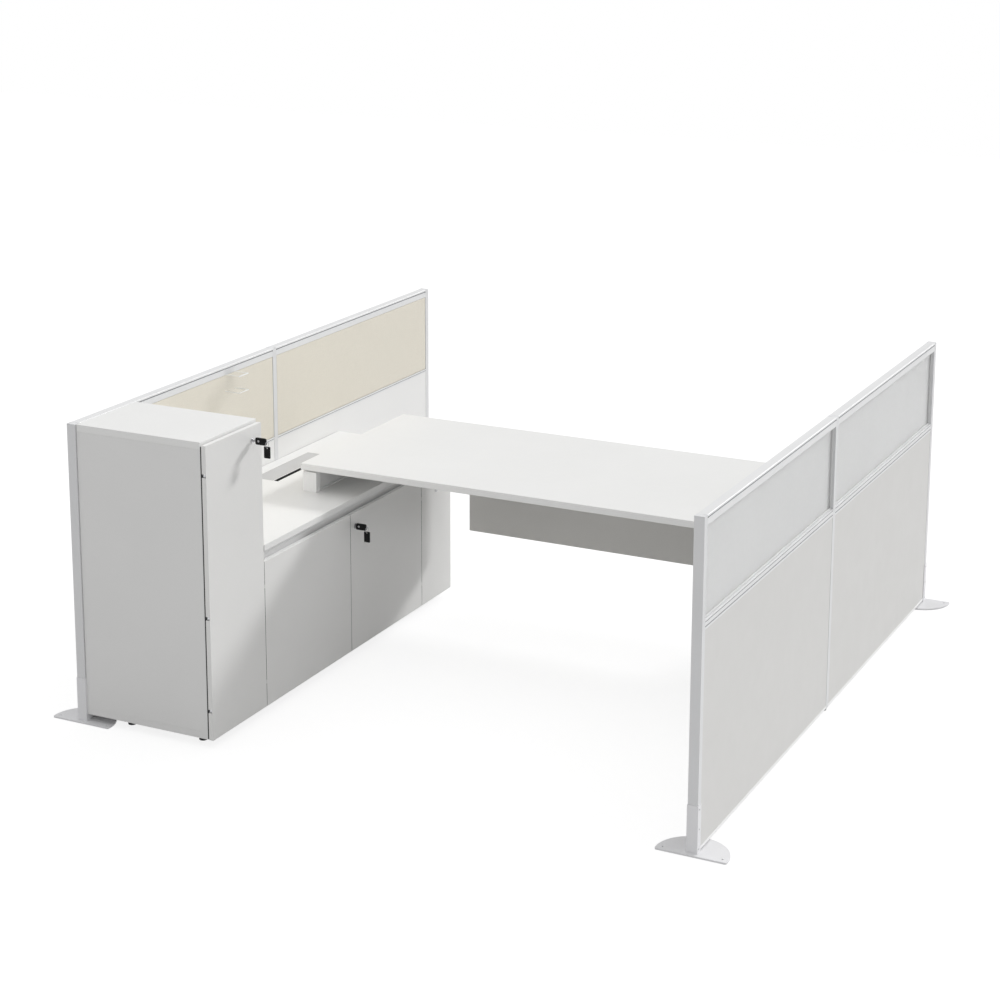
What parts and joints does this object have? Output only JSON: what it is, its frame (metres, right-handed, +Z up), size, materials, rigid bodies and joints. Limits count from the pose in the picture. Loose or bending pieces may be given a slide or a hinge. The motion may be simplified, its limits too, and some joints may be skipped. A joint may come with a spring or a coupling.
{
  "type": "cubicle workstation",
  "caption": "Office workstation: two framed screens, a tall and a low cabinet with hinged lockable doors and a cable flap, and a desk with modesty panel.",
  "frame": {"origin": "on the floor, in the middle of the plan of the whole workstation", "axes": "+X from the left screen to the right screen along the desk, +Y along the screens from the sitter side ends towards the far ends, +Z up"},
  "size_m": [2.5634, 2.616, 1.1],
  "materials": {
    "post_metal": "satin silver powder coat",
    "rail_metal": "satin pale grey powder coat",
    "cap_plastic": "matte pale grey plastic",
    "panel_fabric": "fine woven beige cloth",
    "frosted_glass": "frosted white",
    "tile_white": "smooth painted white",
    "tile_grey": "smooth painted pale grey",
    "foot_metal": "satin silver powder coat",
    "screw_steel": "plated steel",
    "black_plastic": "matte black plastic",
    "cabinet_board": "fine grained pale laminate",
    "inner_board": "pale melamine",
    "top_board": "fine grained near white laminate",
    "door_board": "fine grained pale laminate",
    "hinge_steel": "zinc plated",
    "lock_metal": "bright nickel",
    "key_plastic": "black moulded plastic",
    "flap_metal": "fine satin anodised",
    "brush_black": "black bristle",
    "riser_metal": "satin pale grey powder coat",
    "modesty_board": "warm grey laminate",
    "leg_metal": "satin silver powder coat",
    "clear_plastic": "clear acrylic"
  },
  "bodies": {
    "workstation": {"near_posts": "post_metal", "mid_posts": "post_metal", "far_posts": "post_metal", "top_rails": "rail_metal", "mid_rails": "rail_metal", "bottom_rails": "rail_metal", "post_caps": "cap_plastic", "fabric_panel_near": "panel_fabric", "fabric_panel_far": "panel_fabric", "glass_panel_near": "frosted_glass", "glass_panel_far": "frosted_glass", "left_tile_near": "tile_white", "left_tile_far": "tile_white", "right_tile_near": "tile_grey", "right_tile_far": "tile_grey", "screen_feet": "foot_metal", "foot_sleeves": "foot_metal", "sleeve_screws": "screw_steel", "mid_glides": "black_plastic", "tall_top": "top_board", "tall_bottom": "cabinet_board", "tall_side_near": "cabinet_board", "tall_side_far": "cabinet_board", "tall_back": "inner_board", "tall_shelves": "inner_board", "low_top": "top_board", "low_bottom": "cabinet_board", "low_side_near": "cabinet_board", "low_partition": "inner_board", "low_side_far": "cabinet_board", "low_back": "inner_board", "low_shelves": "inner_board", "shelf_pins": "screw_steel", "catch_rails": "rail_metal", "levellers": "black_plastic", "hinge_arms": "hinge_steel", "hinge_pins": "hinge_steel", "cable_brush": "brush_black", "cable_trough": "rail_metal", "desk_top": "top_board", "desk_riser": "riser_metal", "modesty_panel": "modesty_board", "desk_brackets": "hinge_steel", "leg_frame": "leg_metal", "pen_pot": "clear_plastic"},
    "tall_door": {"tall_door": "door_board", "tall_lock": "lock_metal"},
    "left_door": {"left_door": "door_board"},
    "right_door": {"right_door": "door_board", "right_lock": "lock_metal"},
    "end_door": {"end_door": "door_board", "end_lock": "lock_metal"},
    "tall_lock_plug": {"tall_plug": "lock_metal", "tall_key": "key_plastic"},
    "right_lock_plug": {"right_plug": "lock_metal", "right_key": "key_plastic"},
    "end_lock_plug": {"end_plug": "lock_metal"},
    "tall_spare": {"tall_spare_key": "key_plastic"},
    "right_spare": {"right_spare_key": "key_plastic"},
    "cable_flap": {"cable_flap": "flap_metal"}
  },
  "joints": [
    {"name": "tall_door_hinge", "type": "hinge", "parent": "workstation", "child": "tall_door", "pos_m": [-0.6155, -1.279, 0.561], "axis": [0, 0, -1], "range_deg": [0, 95]},
    {"name": "left_door_hinge", "type": "hinge", "parent": "workstation", "child": "left_door", "pos_m": [-0.6155, -0.9295, 0.306], "axis": [0, 0, -1], "range_deg": [0, 95]},
    {"name": "right_door_hinge", "type": "hinge", "parent": "workstation", "child": "right_door", "pos_m": [-0.6155, 0.2225, 0.306], "axis": [0, 0, 1], "range_deg": [0, 90]},
    {"name": "end_door_hinge", "type": "hinge", "parent": "workstation", "child": "end_door", "pos_m": [-0.6155, 0.2415, 0.306], "axis": [0, 0, -1], "range_deg": [0, 90]},
    {"name": "tall_lock_turn", "type": "hinge", "parent": "tall_door", "child": "tall_lock_plug", "pos_m": [-0.6105, -0.9975, 1.037], "axis": [1, 0, 0], "range_deg": [0, 90]},
    {"name": "tall_spare_hang", "type": "hinge", "parent": "tall_lock_plug", "child": "tall_spare", "pos_m": [-0.6105, -0.9975, 1.037], "axis": [1, 0, 0], "range_deg": [-90, 0]},
    {"name": "right_lock_turn", "type": "hinge", "parent": "right_door", "child": "right_lock_plug", "pos_m": [-0.6105, -0.2965, 0.523], "axis": [1, 0, 0], "range_deg": [0, 90]},
    {"name": "right_spare_hang", "type": "hinge", "parent": "right_lock_plug", "child": "right_spare", "pos_m": [-0.6105, -0.2965, 0.523], "axis": [1, 0, 0], "range_deg": [-90, 0]},
    {"name": "end_lock_turn", "type": "hinge", "parent": "end_door", "child": "end_lock_plug", "pos_m": [-0.6105, 0.358, 0.491], "axis": [1, 0, 0], "range_deg": [0, 90]},
    {"name": "cable_flap_hinge", "type": "hinge", "parent": "workstation", "child": "cable_flap", "pos_m": [-1.0875, -0.0515, 0.636], "axis": [0, -1, 0], "range_deg": [0, 100]}
  ],
  "couplings": [
    {"joint": "tall_spare_hang", "follows": "tall_lock_turn", "ratio": -1},
    {"joint": "right_spare_hang", "follows": "right_lock_turn", "ratio": -1}
  ]
}
